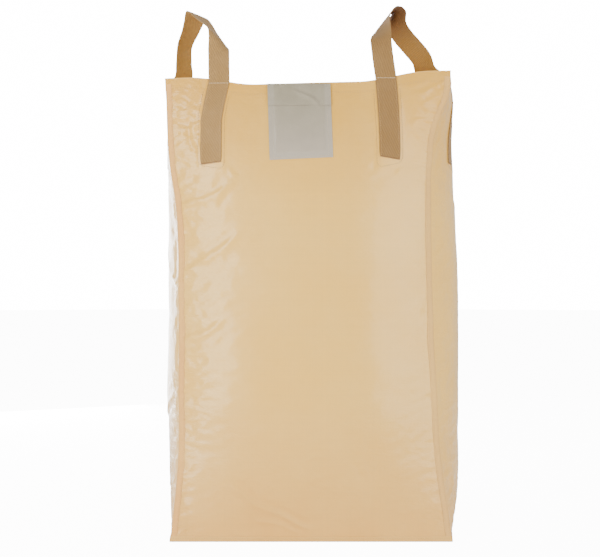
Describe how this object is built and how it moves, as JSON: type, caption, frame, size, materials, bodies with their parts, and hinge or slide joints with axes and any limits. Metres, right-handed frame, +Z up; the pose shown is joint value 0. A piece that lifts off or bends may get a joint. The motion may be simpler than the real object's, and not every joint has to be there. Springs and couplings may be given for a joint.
{
  "type": "bulk bag",
  "caption": "Open-top square bulk bag of coated woven fabric with corner lifting loops of webbing, a hemmed rim, folded corner seams and a film document pouch with a flap.",
  "frame": {"origin": "middle of the footprint, on the surface that the bag stands on", "axes": "+Z up; the front, with the document pouch, faces -Y; +X to the right seen from the front"},
  "size_m": [1.1345, 1.1285, 1.9324],
  "materials": {
    "panel_fabric": "woven polypropylene tape with a thin glossy coating",
    "seam_fabric": "uncoated woven polypropylene, matte",
    "webbing": "twill-woven polypropylene webbing, matte",
    "pouch_film": "milky polyethylene film, semi-matte",
    "thread": "twisted polyester thread"
  },
  "bodies": {
    "bag": {"back_panel": "panel_fabric", "base_panel": "panel_fabric", "base_seam_back": "seam_fabric", "base_seam_front": "seam_fabric", "base_seam_left": "seam_fabric", "base_seam_right": "seam_fabric", "base_stitching": "thread", "corner_seam_back_left": "seam_fabric", "corner_seam_back_right": "seam_fabric", "corner_seam_front_left": "seam_fabric", "corner_seam_front_right": "seam_fabric", "corner_stitching": "thread", "front_panel": "panel_fabric", "hem_stitching": "thread", "left_panel": "panel_fabric", "leg_back_left_on_back": "webbing", "leg_back_left_on_left": "webbing", "leg_back_right_on_back": "webbing", "leg_back_right_on_right": "webbing", "leg_front_left_on_front": "webbing", "leg_front_left_on_left": "webbing", "leg_front_right_on_front": "webbing", "leg_front_right_on_right": "webbing", "leg_stitching": "thread", "patch_back_left_on_back": "panel_fabric", "patch_back_left_on_left": "panel_fabric", "patch_back_right_on_back": "panel_fabric", "patch_back_right_on_right": "panel_fabric", "patch_front_left_on_front": "panel_fabric", "patch_front_left_on_left": "panel_fabric", "patch_front_right_on_front": "panel_fabric", "patch_front_right_on_right": "panel_fabric", "pouch_back": "pouch_film", "pouch_front": "pouch_film", "pouch_stitching": "thread", "right_panel": "panel_fabric", "rim_hem_back": "seam_fabric", "rim_hem_front": "seam_fabric", "rim_hem_left": "seam_fabric", "rim_hem_right": "seam_fabric"},
    "loop_front_left": {"lifting_loop_front_left": "webbing"},
    "loop_front_right": {"lifting_loop_front_right": "webbing"},
    "loop_back_left": {"lifting_loop_back_left": "webbing"},
    "loop_back_right": {"lifting_loop_back_right": "webbing"},
    "flap": {"pouch_flap": "pouch_film"}
  },
  "joints": [
    {"name": "loop_front_left_fold", "type": "hinge", "parent": "bag", "child": "loop_front_left", "pos_m": [-0.41339, -0.41042, 1.62349], "axis": [0.7002, -0.7139, 0], "range_deg": [-95, 92]},
    {"name": "loop_front_right_fold", "type": "hinge", "parent": "bag", "child": "loop_front_right", "pos_m": [0.39193, -0.40825, 1.64304], "axis": [0.7496, 0.6619, 0], "range_deg": [-95, 92]},
    {"name": "loop_back_left_fold", "type": "hinge", "parent": "bag", "child": "loop_back_left", "pos_m": [-0.41339, 0.41042, 1.62349], "axis": [-0.7002, -0.7139, 0], "range_deg": [-95, 92]},
    {"name": "loop_back_right_fold", "type": "hinge", "parent": "bag", "child": "loop_back_right", "pos_m": [0.39193, 0.40825, 1.64304], "axis": [-0.7496, 0.6619, 0], "range_deg": [-95, 92]},
    {"name": "pouch_flap_lift", "type": "hinge", "parent": "bag", "child": "flap", "pos_m": [-0.02998, -0.52704, 1.61385], "axis": [-1, 0, 0], "range_deg": [0, 150]}
  ]
}
